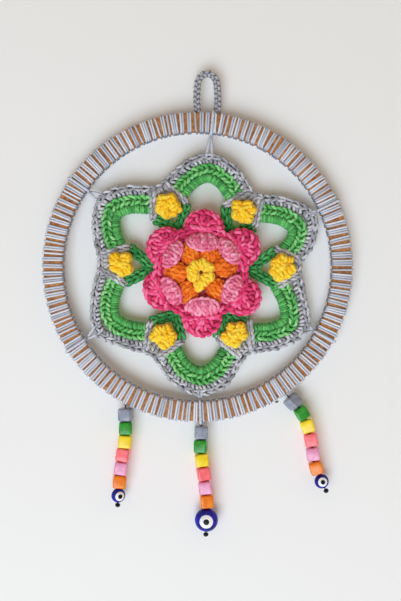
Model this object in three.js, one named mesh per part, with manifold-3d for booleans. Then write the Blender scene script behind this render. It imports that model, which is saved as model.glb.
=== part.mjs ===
// A crocheted evil eye wall hanging: a wooden hoop wound with yarn, a six-lobed crochet mandala tied
// into it, a braided hanging loop, and three strands of glazed cube beads that end in eye beads.
//
// Millimetres. The drawing plane has x across and y up, with z towards the viewer. The finished group
// is turned about X, so that the ornament hangs with +Z up and its front faces -Y. The origin is the
// top of the hanging loop's inside, where a hook carries it.

import * as THREE from 'three';
import { mergeVertices } from 'three/addons/utils/BufferGeometryUtils.js';
import Module from 'manifold-3d';

// Driving dimensions

const CLEARANCE = 0.3; // between pieces that lie against each other

const LOOP_CORD = 4; // braided cord's diameter
const LOOP_INSIDE_WIDTH = 8.5;
const LOOP_DROP = 20.4; // from the loop's inside top to the axis it swings on
const LOOP_ARCH = 8; // height of the loop's rounded top, at the cord's middle

const HOOP_OUTER_RADIUS = 96;
const HOOP_WIDTH = 11.8; // radially
const HOOP_THICKNESS = 6;
const HOOP_EDGE = 1; // the softened corners
const HOOP_ASIDE = 6.1; // how far the hoop's middle hangs to the left of the loop

const WRAP_LOOPS = 24;
const WRAP_START = 12.65; // degrees, so that ties, strands and loop legs pass between the turns
const WRAP_WIDTH = 3;
const WRAP_THICKNESS = 1.2;

const TIE_DIAMETER = 2.2;

const FLOWER_ASIDE = 2.2; // the flower's middle, from the hoop's middle
const FLOWER_BELOW = 3.8;
const CROCHET_THICKNESS = 4.4; // border, arches and leaves
const CROCHET_BEVEL = 1;
const BORDER_WIDTH = 5;
const ARCH_WIDTH = 11;
const POST_WIDTH = 3.4;
const LEAF_WIDTH = 5;
const LEAF_RING_INNER = 10;
const LEAF_RING_OUTER = 22;
const LEAF_APEX_RADIUS = 29;

// A bobble's two posts begin at the border's valley and end beside the bobble: how far outwards of the
// valley, or of the bobble's middle, and how far to either side. The arches' feet stand aside of it too.
const POST_OUTER = { pastValley: 1.2, aside: 4.6 };
const POST_INNER = { distance: -3.8, aside: 11.4 };
const ARCH_FOOT_ASIDE = 11.2;

const BOBBLE_RADIUS = 7.7;
const BOBBLE_HALF_HEIGHT = 5.8;
const BOBBLE_LEVEL = 3.6; // height of its middle above the crochet's middle plane

const CUBE = 8;
const CUBE_EDGE = 0.9;
const BEAD_BORE = 2.2;
const LARGE_EYE = { radius: 7.3, halfDepth: 5.2, white: 4.2, pupil: 1.9 };
const SMALL_EYE = { radius: 4.5, halfDepth: 3.4, white: 2.9, pupil: 1.5 };
const EYE_BORE = 1.8;
const EYE_DOT_DEPTH = 1.3; // how deep the white dot is let into the blue glass
const PUPIL_DEPTH = 0.6; // how deep the pupil is let into the white dot
const SEED_RADIUS = 1.6;
const SEED_HEIGHT = 2.2;
const SEED_BORE = 1.5;
const THREAD = 0.8; // diameter
const THREAD_TAIL = 0.6; // past the seed bead
const STRAND_DROP = 2; // bare thread between the wound hoop and the first bead

// The six lobes, anticlockwise from the top one. The tip is the border's outermost point, and tipGap is
// how far that stays inside the hoop's inner radius. crownGap is from the tip in to the middle of the
// arch's crown, and bulge is how far the arch's shoulders stand out from straight. footBefore and
// footAfter are how far outwards of the bobbles on either side the arch's feet stand. Angles are about
// the flower's middle, but the tie's is about the hoop's.
const LOBES = [
  { name: 'top', tipAngle: 86.1, tipGap: 10.3, crownAngle: 85.4, crownGap: 10.9, bulge: 2.4,
    footBefore: 5.4, footAfter: 4.8, tieAngle: 84.2 },
  { name: 'upper_left', tipAngle: 143.4, tipGap: 5.6, crownAngle: 145, crownGap: 11.5, bulge: 2.4,
    footBefore: 6.5, footAfter: 4.2, tieAngle: 145.3 },
  { name: 'lower_left', tipAngle: 208.7, tipGap: 8.7, crownAngle: 207, crownGap: 12.4, bulge: 2.4,
    footBefore: 2.2, footAfter: 3.6, tieAngle: 213 },
  { name: 'bottom', tipAngle: 269.5, tipGap: 8.7, crownAngle: 269.4, crownGap: 11.2, bulge: 3.2,
    footBefore: 5, footAfter: 8.2, tieAngle: 271.1 },
  { name: 'lower_right', tipAngle: 331.7, tipGap: 9.2, crownAngle: 330.7, crownGap: 11.9, bulge: 2.4,
    footBefore: 5.3, footAfter: -2.6, tieAngle: 331.2 },
  { name: 'upper_right', tipAngle: 388, tipGap: 4.9, crownAngle: 386.1, crownGap: 12.7, bulge: 2.4,
    footBefore: 4.4, footAfter: 6.8, tieAngle: 385.1 },
];

// The bobble that follows each lobe, anticlockwise. inset is how far its middle lies inside the hoop's
// inner radius, about the flower's middle, and valley how far outwards of it the border turns in.
const BOBBLES = [
  { name: 'upper_left', angle: 116.4, inset: 37.1, valley: 11 },
  { name: 'left', angle: 173.9, inset: 33.9, valley: 11 },
  { name: 'lower_left', angle: 238.8, inset: 37.8, valley: 11 },
  { name: 'lower_right', angle: 299.6, inset: 40, valley: 11.5 },
  { name: 'right', angle: 363.8, inset: 32.8, valley: 8 },
  { name: 'upper_right', angle: 415.4, inset: 37.5, valley: 11 },
];

// The flower's rounds, front one first. Each is a hub with six lobes: the hub's radius and its back and
// front levels, the lobes' half sizes and the level of their middles, and each lobe's place.
const ROUNDS = [
  {
    name: 'orange_puffs', color: 0xf07d0f, hubRadius: 11, back: 7.2, front: 8.6, level: 10.2,
    halfWidth: 6.6, halfLength: 5.6, halfHeight: 4,
    lobes: [
      { angle: 13.5, radius: 15.6 }, { angle: 65.8, radius: 13.7 }, { angle: 119, radius: 13.4 },
      { angle: 180, radius: 15.4 }, { angle: 235.6, radius: 14.6 }, { angle: 313.3, radius: 14.8 },
    ],
  },
  {
    name: 'light_pink_petals', color: 0xe178aa, hubRadius: 18, back: 4.8, front: 6.9, level: 8.4,
    halfWidth: 10.4, halfLength: 6.6, halfHeight: 4.2,
    lobes: [
      { angle: 37, radius: 22.4 }, { angle: 86, radius: 19.4 }, { angle: 148, radius: 21.3 },
      { angle: 212, radius: 22.2 }, { angle: 272, radius: 21.9 }, { angle: 331.3, radius: 22.1 },
    ],
  },
  {
    name: 'hot_pink_petals', color: 0xeb3c7d, hubRadius: 26, back: 2.5, front: 4.5, level: 6.3,
    halfWidth: 12.2, halfLength: 9.6, halfHeight: 3.8,
    lobes: [
      { angle: 31.9, radius: 33 }, { angle: 86.6, radius: 31.4 }, { angle: 144, radius: 30.9 },
      { angle: 203.8, radius: 29.6 }, { angle: 271, radius: 33.4 }, { angle: 329.6, radius: 33.2 },
    ],
  },
];
const CENTRE_RADIUS = 9; // the yellow middle: a crochet ring round a small hole
const CENTRE_HOLE = 1.6;
const CENTRE_BACK = 8.9;
const CENTRE_FRONT = 15;

// The strands. Each bead's lean is in degrees from plumb, with its lower end to the left above zero.
// gap is what the thread's knots leave between beads, and turn is how far its eye looks aside.
const CUBE_COLORS = {
  grey: 0x8c91a0, green: 0x289632, yellow: 0xf5d732, coral: 0xff787d, pink: 0xf0a5d2, orange: 0xf5820a,
};
const STRANDS = [
  { name: 'left', hoop: 242.4, gap: 0.4, leans: [-1, 1, 6, 9, 9, 5], eyeLean: 3, seedLean: 7,
    eye: SMALL_EYE, turn: 27 },
  { name: 'middle', hoop: 271.5, gap: 0.65, leans: [3, 0, -7, -9, -7, -3], eyeLean: 3, seedLean: -4,
    eye: LARGE_EYE, turn: -1 },
  { name: 'right', hoop: 304.8, gap: 0.9, leans: [-44, -31, -18, -10, -7, -18], eyeLean: -25,
    seedLean: -27, eye: SMALL_EYE, turn: 6 },
];

// Mesh detail
const RING_SEGMENTS = 60;
const LOBE_SEGMENTS = 10;
const LOBE_RINGS = 6;
const EYE_SEGMENTS = 14;
const EYE_RINGS = 8;
const DOT_SIDES = 12;
const BORDER_STEPS = 60;
const ARCH_STEPS = 14;
const BAR_END_STEPS = 2;
const TUBE_SIDES = 8;
const THIN_SIDES = 6;

const radians = THREE.MathUtils.degToRad;
const polar = (angle, radius, from = new THREE.Vector2()) =>
  new THREE.Vector2(Math.cos(radians(angle)), Math.sin(radians(angle))).multiplyScalar(radius).add(from);
const yarn = (color) => new THREE.MeshStandardMaterial({ color, roughness: 0.95, metalness: 0 });
const glaze = (color) => new THREE.MeshStandardMaterial({ color, roughness: 0.2, metalness: 0 });

const GREY_YARN = yarn(0xb9bac6);
const ARCH_GREEN = yarn(0x46aa4b);
const LEAF_GREEN = yarn(0x1e7837);
const YELLOW_YARN = yarn(0xfabe1e);
const WOOD = new THREE.MeshStandardMaterial({ color: 0xb87842, roughness: 0.75, metalness: 0 });

// Solids for joining and cutting

const wasm = await Module();
wasm.setup();

function solid(geometry) {
  const bare = geometry.clone();
  bare.deleteAttribute('normal');
  bare.deleteAttribute('uv');
  const merged = mergeVertices(bare, 1e-4);
  const corners = merged.index.array;
  const kept = [];
  for (let i = 0; i < corners.length; i += 3) {
    const [a, b, c] = [corners[i], corners[i + 1], corners[i + 2]];
    if (a !== b && b !== c && c !== a) kept.push(a, b, c);
  }
  return new wasm.Manifold(new wasm.Mesh({
    numProp: 3,
    vertProperties: new Float32Array(merged.attributes.position.array),
    triVerts: new Uint32Array(kept),
  }));
}

function geometryOf(body) {
  const mesh = body.getMesh();
  const geometry = new THREE.BufferGeometry();
  geometry.setAttribute('position', new THREE.BufferAttribute(mesh.vertProperties, 3));
  geometry.setIndex(new THREE.BufferAttribute(mesh.triVerts, 1));
  geometry.computeVertexNormals();
  return geometry;
}

const joined = (bodies) => bodies.reduce((all, next) => all.add(next));

function piece(name, geometry, material) {
  const mesh = new THREE.Mesh(geometry, material);
  mesh.name = name;
  return mesh;
}

// Flat crochet bands

const loft = (points, closed = false) =>
  new THREE.CatmullRomCurve3(points.map((p) => new THREE.Vector3(p.x, p.y, 0)), closed, 'centripetal');

// A row of points beside a flat curve, to the right of its direction.
function beside(curve, steps, distance, closed = false) {
  const points = [];
  for (let i = 0; i < (closed ? steps : steps + 1); i++) {
    const at = curve.getPointAt(i / steps);
    const along = curve.getTangentAt(i / steps);
    points.push(new THREE.Vector2(at.x + along.y * distance, at.y - along.x * distance));
  }
  return points;
}

// A flat plate with softened edges, centred on the crochet's middle plane.
function plate(shape, thickness, bevel) {
  const geometry = new THREE.ExtrudeGeometry(shape, {
    depth: thickness - 2 * bevel, steps: 1, bevelEnabled: bevel > 0, bevelThickness: bevel,
    bevelSize: bevel, bevelOffset: -bevel, bevelSegments: 1,
  });
  return geometry.translate(0, 0, bevel - thickness / 2);
}

function bandShape(curve, width, steps) {
  const right = beside(curve, steps, width / 2);
  const left = beside(curve, steps, -width / 2).reverse();
  return new THREE.Shape([...right, ...left]);
}

function ringShape(curve, width, steps) {
  const shape = new THREE.Shape(beside(curve, steps, width / 2, true));
  shape.holes.push(new THREE.Path(beside(curve, steps, -width / 2, true).reverse()));
  return shape;
}

// A straight bar with round ends, drawn from a to b.
function barShape(a, b, width) {
  const turn = Math.atan2(b.y - a.y, b.x - a.x);
  const shape = new THREE.Shape();
  shape.absarc(b.x, b.y, width / 2, turn - Math.PI / 2, turn + Math.PI / 2);
  shape.absarc(a.x, a.y, width / 2, turn + Math.PI / 2, turn + 1.5 * Math.PI);
  return new THREE.Shape(shape.getPoints(BAR_END_STEPS).slice(0, -1));
}

// The hoop, its winding and the hanging loop

const hoopInner = HOOP_OUTER_RADIUS - HOOP_WIDTH;
const hoopTop = LOOP_DROP + LOOP_CORD / 2 + CLEARANCE;
const hoopCentre = new THREE.Vector2(-HOOP_ASIDE, -hoopTop - HOOP_OUTER_RADIUS);

function hoopRing() {
  const half = HOOP_THICKNESS / 2;
  const profile = [
    [HOOP_OUTER_RADIUS - HOOP_EDGE, -half], [HOOP_OUTER_RADIUS, HOOP_EDGE - half],
    [HOOP_OUTER_RADIUS, half - HOOP_EDGE], [HOOP_OUTER_RADIUS - HOOP_EDGE, half],
    [hoopInner + HOOP_EDGE, half], [hoopInner, half - HOOP_EDGE],
    [hoopInner, HOOP_EDGE - half], [hoopInner + HOOP_EDGE, -half],
  ];
  const points = [...profile, profile[0]].map(([r, z]) => new THREE.Vector2(r, z));
  return new THREE.LatheGeometry(points, RING_SEGMENTS).rotateX(Math.PI / 2);
}

// The middle of the winding's yarn. Each turn crosses the front and both edges square, and steps on to
// the next turn across the back.
function windingPath() {
  const middle = HOOP_OUTER_RADIUS - HOOP_WIDTH / 2;
  const lift = CLEARANCE + WRAP_THICKNESS / 2;
  const a = HOOP_WIDTH / 2 + lift;
  const b = HOOP_THICKNESS / 2 + lift;
  const corner = HOOP_EDGE + CLEARANCE;
  const pitch = 360 / WRAP_LOOPS;
  const section = [
    [-a, corner - b, 0], [-a, b - corner, 0], [corner - a, b, 0], [0, b, 0], [a - corner, b, 0],
    [a, b - corner, 0], [a, corner - b, 0], [a - corner, -b, 0], [0, -b, 0.5], [corner - a, -b, 1],
  ];
  const lastPoint = 7; // the last turn ends on the hoop's outer edge
  const path = [];
  for (let loop = 0; loop < WRAP_LOOPS; loop++) {
    const last = loop === WRAP_LOOPS - 1;
    for (const [out, level, step] of last ? section.slice(0, lastPoint) : section) {
      const at = polar(WRAP_START + (loop + step) * pitch, middle + out);
      const away = new THREE.Vector3(at.x, at.y, 0).normalize().multiplyScalar(out / a);
      away.z = level / b;
      path.push({ at: new THREE.Vector3(at.x, at.y, level), away: away.normalize() });
    }
  }
  return path;
}

function winding(path) {
  const section = [[0.5, 0], [0.25, 0.5], [-0.25, 0.5], [-0.5, 0], [-0.25, -0.5], [0.25, -0.5]];
  const sides = section.length;
  const positions = [];
  const faces = [];
  path.forEach(({ at, away }, i) => {
    const before = path[Math.max(i - 1, 0)].at;
    const after = path[Math.min(i + 1, path.length - 1)].at;
    const along = after.clone().sub(before).normalize();
    const across = along.clone().cross(away).normalize();
    const outwards = across.clone().cross(along).normalize();
    for (const [w, t] of section) {
      const point = at.clone().addScaledVector(across, w * WRAP_WIDTH);
      positions.push(...point.addScaledVector(outwards, t * WRAP_THICKNESS).toArray());
    }
  });
  for (let i = 0; i < path.length - 1; i++) {
    for (let k = 0; k < sides; k++) {
      const next = (k + 1) % sides;
      const [a, b] = [i * sides + k, i * sides + next];
      faces.push(a, a + sides, b, b, a + sides, b + sides);
    }
  }
  const end = (path.length - 1) * sides;
  for (let k = 1; k < sides - 1; k++) faces.push(0, k, k + 1, end, end + k + 1, end + k);
  const geometry = new THREE.BufferGeometry();
  geometry.setAttribute('position', new THREE.Float32BufferAttribute(positions, 3));
  geometry.setIndex(faces);
  geometry.computeVertexNormals();
  return geometry;
}

// The least gap between two turns of the winding, from the points of its middle.
function leastGap(path) {
  const turn = 10;
  let least = Infinity;
  for (let i = 0; i < path.length; i++) {
    for (let j = i + turn / 2; j < path.length; j++) {
      least = Math.min(least, path[i].at.distanceTo(path[j].at));
    }
  }
  return least - WRAP_WIDTH;
}

// The hanging loop ends in two round feet on the axis that the hoop swings about.
function hangingLoop() {
  const half = LOOP_INSIDE_WIDTH / 2 + LOOP_CORD / 2;
  const crown = LOOP_CORD / 2;
  const spring = crown - LOOP_ARCH;
  const points = [[-half, -LOOP_DROP], [-half, (spring - LOOP_DROP) / 2]];
  for (let step = 0; step <= 6; step++) {
    const turn = Math.PI * (1 - step / 6);
    points.push([half * Math.cos(turn), spring + LOOP_ARCH * Math.sin(turn)]);
  }
  points.push([half, (spring - LOOP_DROP) / 2], [half, -LOOP_DROP]);
  const extrudePath = loft(points.map(([x, y]) => new THREE.Vector2(x, y)));
  const section = new THREE.Shape().absarc(0, 0, LOOP_CORD / 2, 0, 2 * Math.PI);
  const outline = new THREE.Shape(section.getPoints(TUBE_SIDES / 2).slice(0, -1));
  const cord = solid(new THREE.ExtrudeGeometry(outline, { steps: 22, extrudePath, bevelEnabled: false }));
  const foot = (x) => solid(
    new THREE.SphereGeometry(LOOP_CORD / 2, TUBE_SIDES, 6).translate(x, -LOOP_DROP, 0));
  return geometryOf(joined([cord, foot(-half), foot(half)]));
}

// The mandala

const flower = new THREE.Vector2(FLOWER_ASIDE, -FLOWER_BELOW);
const about = ({ angle, radius }) => polar(angle, radius, flower);
const tipOf = (lobe) => ({ angle: lobe.tipAngle, radius: hoopInner - lobe.tipGap });
const crownOf = (lobe) => ({ angle: lobe.crownAngle, radius: tipOf(lobe).radius - lobe.crownGap });
const middleOf = (bobble) => ({ angle: bobble.angle, radius: hoopInner - bobble.inset });

// A point near a bobble: so far outwards from the flower, and so far to its anticlockwise side.
function near(bobble, distance, aside) {
  const outwards = polar(bobble.angle, 1);
  const across = new THREE.Vector2(-outwards.y, outwards.x);
  return about(middleOf(bobble)).addScaledVector(outwards, distance).addScaledVector(across, aside);
}

const after = (k) => BOBBLES[k];
const before = (k) => BOBBLES[(k + BOBBLES.length - 1) % BOBBLES.length];

// An arch runs anticlockwise over its lobe, from the bobble before it to the bobble after it.
function archCurve(k) {
  const lobe = LOBES[k];
  const from = near(before(k), lobe.footBefore, ARCH_FOOT_ASIDE);
  const to = near(after(k), lobe.footAfter, -ARCH_FOOT_ASIDE);
  const crown = about(crownOf(lobe));
  const shoulder = (a, b) => {
    const outwards = new THREE.Vector2(b.y - a.y, a.x - b.x).normalize();
    return a.clone().add(b).multiplyScalar(0.5).addScaledVector(outwards, lobe.bulge);
  };
  return loft([from, shoulder(from, crown), crown, shoulder(crown, to), to]);
}

// The border runs outside every arch, out to each tip and in to the valley beyond each bobble.
function borderCurve() {
  const outside = (ARCH_WIDTH + BORDER_WIDTH) / 2 + CLEARANCE;
  const points = [];
  LOBES.forEach((lobe, k) => {
    const [, early, , late] = beside(archCurve(k), 4, outside);
    const { angle, radius } = tipOf(lobe);
    const tip = about({ angle, radius: radius - BORDER_WIDTH / 2 });
    points.push(early, tip, late, near(after(k), after(k).valley, 0));
  });
  return loft(points, true);
}

// Crochet pieces can be grown by a clearance, to cut the room that a neighbour needs.
function border(grow = 0) {
  const thickness = CROCHET_THICKNESS + 2 * grow;
  const bevel = grow ? 0 : CROCHET_BEVEL;
  const band = ringShape(borderCurve(), BORDER_WIDTH + 2 * grow, BORDER_STEPS);
  const posts = BOBBLES.flatMap((bobble) => [-1, 1].map((side) => barShape(
    near(bobble, bobble.valley + POST_OUTER.pastValley, side * POST_OUTER.aside),
    near(bobble, POST_INNER.distance, side * POST_INNER.aside), POST_WIDTH + 2 * grow)));
  const plates = [plate(band, thickness, bevel), ...posts.map((post) => plate(post, thickness, 0))];
  return joined(plates.map(solid));
}

function leaves(grow = 0) {
  const thickness = CROCHET_THICKNESS + 2 * grow;
  const ring = new THREE.Shape().absarc(0, 0, LEAF_RING_OUTER + grow, 0, 2 * Math.PI);
  ring.holes.push(new THREE.Path().absarc(0, 0, LEAF_RING_INNER - grow, 0, 2 * Math.PI, true));
  const ringPlate = plate(ring, thickness, 0).translate(flower.x, flower.y, 0);
  const bars = BOBBLES.flatMap((bobble) => {
    const { angle } = bobble;
    const apex = about({ angle, radius: LEAF_APEX_RADIUS });
    const root = about({ angle, radius: (LEAF_RING_INNER + LEAF_RING_OUTER) / 2 });
    const end = (side) => near(bobble, POST_INNER.distance, side * POST_INNER.aside);
    return [[root, apex], [apex, end(-1)], [apex, end(1)]];
  });
  const width = LEAF_WIDTH + 2 * grow;
  return joined([ringPlate, ...bars.map(([a, b]) => plate(barShape(a, b, width), thickness, 0))].map(solid));
}

function ellipsoid(half, at, level, turn = 0) {
  return solid(new THREE.SphereGeometry(1, LOBE_SEGMENTS, LOBE_RINGS).rotateX(Math.PI / 2)
    .scale(...half).rotateZ(turn).translate(at.x, at.y, level));
}

function bobble(k, grow = 0) {
  const half = [BOBBLE_RADIUS + grow, BOBBLE_RADIUS + grow, BOBBLE_HALF_HEIGHT + grow];
  return ellipsoid(half, about(middleOf(BOBBLES[k])), BOBBLE_LEVEL);
}

function hub(radius, back, front) {
  const disc = new THREE.CylinderGeometry(radius, radius, front - back, 2 * LOBE_SEGMENTS);
  return solid(disc.rotateX(Math.PI / 2).translate(flower.x, flower.y, (back + front) / 2));
}

function flowerRound(round, grow = 0) {
  const half = [round.halfWidth + grow, round.halfLength + grow, round.halfHeight + grow];
  const lobed = round.lobes.map((place) => ellipsoid(
    half, about(place), round.level, radians(place.angle - 90)));
  return joined([hub(round.hubRadius + grow, round.back - grow, round.front + grow), ...lobed]);
}

function flowerCentre(grow = 0) {
  const outer = CENTRE_RADIUS + grow;
  const inner = Math.max(CENTRE_HOLE - grow, 0.2);
  const [back, front] = [CENTRE_BACK - grow, CENTRE_FRONT + grow];
  const shoulder = (outer - inner) / 4;
  const profile = [
    [outer - shoulder, back], [outer, back + shoulder], [outer, front - 1.5 * shoulder],
    [outer - shoulder, front - shoulder / 3], [(outer + inner) / 2, front],
    [inner + shoulder / 2, front - shoulder / 2], [inner, front - 1.5 * shoulder], [inner, back],
  ];
  const points = [...profile, profile[0]].map(([r, z]) => new THREE.Vector2(r, z));
  const ring = new THREE.LatheGeometry(points, 2 * LOBE_SEGMENTS);
  return solid(ring.rotateX(Math.PI / 2).translate(flower.x, flower.y, 0));
}

function tie(lobe) {
  const outwards = polar(lobe.tipAngle, 1);
  const start = about(tipOf(lobe)).addScaledVector(outwards, CLEARANCE);
  const end = polar(lobe.tieAngle, hoopInner - CLEARANCE);
  const length = start.distanceTo(end);
  const straight = Math.max(length - TIE_DIAMETER, 0.1);
  const mesh = piece(`tie_${lobe.name}`,
    new THREE.CapsuleGeometry(TIE_DIAMETER / 2, straight, 2, THIN_SIDES), GREY_YARN);
  mesh.position.set((start.x + end.x) / 2, (start.y + end.y) / 2, 0);
  mesh.rotation.z = Math.atan2(end.y - start.y, end.x - start.x) - Math.PI / 2;
  return mesh;
}

function mandala() {
  const group = new THREE.Group();
  const bobbleRoom = joined(BOBBLES.map((_, k) => bobble(k, CLEARANCE)));
  const borderRoom = border(CLEARANCE);
  const leafRoom = leaves(CLEARANCE);
  group.add(piece('grey_border', geometryOf(border().subtract(bobbleRoom)), GREY_YARN));
  group.add(piece('leaf_round', geometryOf(leaves().subtract(borderRoom).subtract(bobbleRoom)), LEAF_GREEN));
  LOBES.forEach((lobe, k) => {
    const band = plate(bandShape(archCurve(k), ARCH_WIDTH, ARCH_STEPS), CROCHET_THICKNESS, CROCHET_BEVEL);
    const arch = solid(band).subtract(borderRoom).subtract(leafRoom).subtract(bobbleRoom);
    group.add(piece(`green_arch_${lobe.name}`, geometryOf(arch), ARCH_GREEN));
    group.add(tie(lobe));
  });
  BOBBLES.forEach(({ name }, k) => group.add(piece(`bobble_${name}`, geometryOf(bobble(k)), YELLOW_YARN)));
  let room = flowerCentre(CLEARANCE).add(bobbleRoom);
  group.add(piece('yellow_centre', geometryOf(flowerCentre()), YELLOW_YARN));
  for (const round of ROUNDS) {
    group.add(piece(round.name, geometryOf(flowerRound(round).subtract(room)), yarn(round.color)));
    room = room.add(flowerRound(round, CLEARANCE));
  }
  return group;
}

// The bead strands

function roundHole(shape, radius, sides) {
  const hole = new THREE.Path().absarc(0, 0, radius, 0, 2 * Math.PI, true);
  shape.holes.push(new THREE.Path(hole.getPoints(sides / 2).slice(0, -1)));
  return shape;
}

// A cube bead with softened edges, drilled along y.
function cubeBead() {
  const half = CUBE / 2;
  const flat = half - CUBE_EDGE;
  const outline = [[flat, -half], [half, -flat], [half, flat], [flat, half],
    [-flat, half], [-half, flat], [-half, -flat], [-flat, -half]];
  const shape = roundHole(
    new THREE.Shape(outline.map(([x, y]) => new THREE.Vector2(x, y))), BEAD_BORE / 2, THIN_SIDES);
  return plate(shape, CUBE, CUBE_EDGE).rotateX(Math.PI / 2);
}

const rod = (radius, length) => new THREE.CylinderGeometry(radius, radius, length, TUBE_SIDES);
const disc = (radius, depth, front) => solid(
  new THREE.CylinderGeometry(radius, radius, depth, DOT_SIDES).rotateX(Math.PI / 2)
    .translate(0, 0, front - depth / 2));

// The eye bead's blue glass, its white dot and its pupil. The dots are trimmed to the bead's own curve.
function eyeBead({ radius, halfDepth, white, pupil }) {
  const round = new THREE.SphereGeometry(1, EYE_SEGMENTS, EYE_RINGS).rotateX(Math.PI / 2);
  const glass = solid(round.scale(radius, radius, halfDepth));
  const floor = halfDepth - EYE_DOT_DEPTH;
  const pupilFloor = halfDepth - PUPIL_DEPTH;
  const dot = (size, back) => disc(size, halfDepth - back, halfDepth).intersect(glass);
  const pocket = (size, back) => disc(size + CLEARANCE, halfDepth + 1 - back, halfDepth + 1);
  const bored = glass.subtract(solid(rod(EYE_BORE / 2, 4 * radius))).subtract(pocket(white, floor));
  return {
    glass: geometryOf(bored),
    white: geometryOf(dot(white, floor + CLEARANCE).subtract(pocket(pupil, pupilFloor - CLEARANCE))),
    pupil: geometryOf(dot(pupil, pupilFloor)),
  };
}

function seedBead() {
  const half = SEED_HEIGHT / 2;
  const bore = SEED_BORE / 2;
  const profile = [[SEED_RADIUS - half / 2, -half], [SEED_RADIUS, -half / 2], [SEED_RADIUS, half / 2],
    [SEED_RADIUS - half / 2, half], [bore, half], [bore, -half]];
  return new THREE.LatheGeometry([...profile, profile[0]].map(([r, y]) => new THREE.Vector2(r, y)), 12);
}

const EYE_GLASS = glaze(0x2d28be);
const EYE_WHITE = glaze(0xf4f4f2);
const EYE_BLACK = glaze(0x101014);

function strand({ name, hoop, gap, leans, eyeLean, seedLean, eye, turn }) {
  const group = new THREE.Group();
  const down = (lean) => new THREE.Vector2(-Math.sin(radians(lean)), -Math.cos(radians(lean)));
  const at = polar(hoop, HOOP_OUTER_RADIUS + WRAP_THICKNESS);
  const route = [polar(hoop, HOOP_OUTER_RADIUS + CLEARANCE), at.clone()];
  const hang = (lean, height, room, pieces) => {
    at.addScaledVector(down(lean), room + height / 2);
    const holder = new THREE.Group();
    holder.position.set(at.x, at.y, 0);
    holder.rotation.z = -radians(lean);
    holder.add(...pieces);
    group.add(holder);
    route.push(at.clone());
    at.addScaledVector(down(lean), height / 2 + gap / 2);
    route.push(at.clone());
  };
  const colors = Object.entries(CUBE_COLORS);
  leans.forEach((lean, i) => {
    const [color, value] = colors[i];
    hang(lean, CUBE, i ? gap / 2 : STRAND_DROP, [piece(`${name}_cube_${color}`, cubeBead(), glaze(value))]);
  });
  const glass = eyeBead(eye);
  const looks = new THREE.Group();
  looks.rotation.y = radians(turn);
  looks.add(piece(`${name}_eye_glass`, glass.glass, EYE_GLASS));
  looks.add(piece(`${name}_eye_white`, glass.white, EYE_WHITE));
  looks.add(piece(`${name}_eye_pupil`, glass.pupil, EYE_BLACK));
  hang(eyeLean, 2 * eye.radius, gap / 2, [looks]);
  hang(seedLean, SEED_HEIGHT, gap / 2, [piece(`${name}_seed`, seedBead(), EYE_BLACK)]);
  route[route.length - 1] = at.addScaledVector(down(seedLean), THREAD_TAIL - gap / 2);
  const section = new THREE.Shape().absarc(0, 0, THREAD / 2, 0, 2 * Math.PI);
  const thread = new THREE.ExtrudeGeometry(new THREE.Shape(section.getPoints(THIN_SIDES / 2).slice(0, -1)),
    { steps: route.length, extrudePath: loft(route), bevelEnabled: false });
  group.add(piece(`${name}_thread`, thread, yarn(0x39352f)));
  return group;
}

// The whole ornament, turned to hang

const hung = new THREE.Group();
hung.position.set(hoopCentre.x, hoopCentre.y, 0);
const turns = windingPath();
console.log(`least gap between turns of the winding: ${leastGap(turns).toFixed(2)} mm`);
hung.add(piece('hoop_ring', hoopRing(), WOOD));
hung.add(piece('hoop_wrap', winding(turns), GREY_YARN));
hung.add(mandala());
STRANDS.forEach((row) => hung.add(strand(row)));

const ornament = new THREE.Group();
ornament.add(piece('hanging_loop', hangingLoop(), GREY_YARN));
ornament.add(hung);
ornament.rotation.x = Math.PI / 2;

export default ornament;
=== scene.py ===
"""A crocheted evil eye wall hanging: its looks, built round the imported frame.

Shapes are drawn in millimetres, with x across, y up and z towards the viewer, from the top of the
hanging loop's inside. row() turns them into the frame's metres, where the front faces -Y.
"""

from collections import namedtuple

import bpy
import numpy as np
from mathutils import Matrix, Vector


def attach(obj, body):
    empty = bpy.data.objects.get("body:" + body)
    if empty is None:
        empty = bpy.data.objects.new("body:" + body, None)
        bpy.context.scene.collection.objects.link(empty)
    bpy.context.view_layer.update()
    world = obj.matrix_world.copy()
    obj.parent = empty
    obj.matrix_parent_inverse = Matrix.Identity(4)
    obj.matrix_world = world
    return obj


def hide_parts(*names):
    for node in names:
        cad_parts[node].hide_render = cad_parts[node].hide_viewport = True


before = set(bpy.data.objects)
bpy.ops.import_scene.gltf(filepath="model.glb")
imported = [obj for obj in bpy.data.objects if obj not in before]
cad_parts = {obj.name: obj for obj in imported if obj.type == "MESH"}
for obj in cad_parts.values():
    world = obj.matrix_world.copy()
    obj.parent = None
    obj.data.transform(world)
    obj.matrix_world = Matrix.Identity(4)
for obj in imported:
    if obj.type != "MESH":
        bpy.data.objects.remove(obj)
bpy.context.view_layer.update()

rng = np.random.default_rng(7)

# Driving sizes, in millimetres, the same as the CAD's

MM = 0.001
CLEARANCE = 0.3
LOOP_CORD = 4.0
LOOP_INSIDE_WIDTH = 8.5
LOOP_DROP = 20.4
LOOP_ARCH = 8.0
HOOP_OUTER = 96.0
HOOP_WIDTH = 11.8
HOOP_THICKNESS = 6.0
HOOP_EDGE = 1.0
HOOP_INNER = HOOP_OUTER - HOOP_WIDTH
HOOP = np.array([-6.1, -(LOOP_DROP + LOOP_CORD / 2 + CLEARANCE) - HOOP_OUTER])
FLOWER = HOOP + np.array([2.2, -3.8])
BORDER_WIDTH = 5.0
ARCH_WIDTH = 11.0
ARCH_FOOT_ASIDE = 11.2
POST_PAST_VALLEY = 1.2
POST_OUTER_ASIDE = 4.6
POST_INNER_DISTANCE = -3.8
POST_INNER_ASIDE = 11.4
LEAF_RING = (10.0, 22.0)
LEAF_APEX = 29.0
LEAF_ARM_SHORT = 1.8  # the arms end this far short of the posts' ends
BOBBLE_HALF_HEIGHT = 5.8
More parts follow.
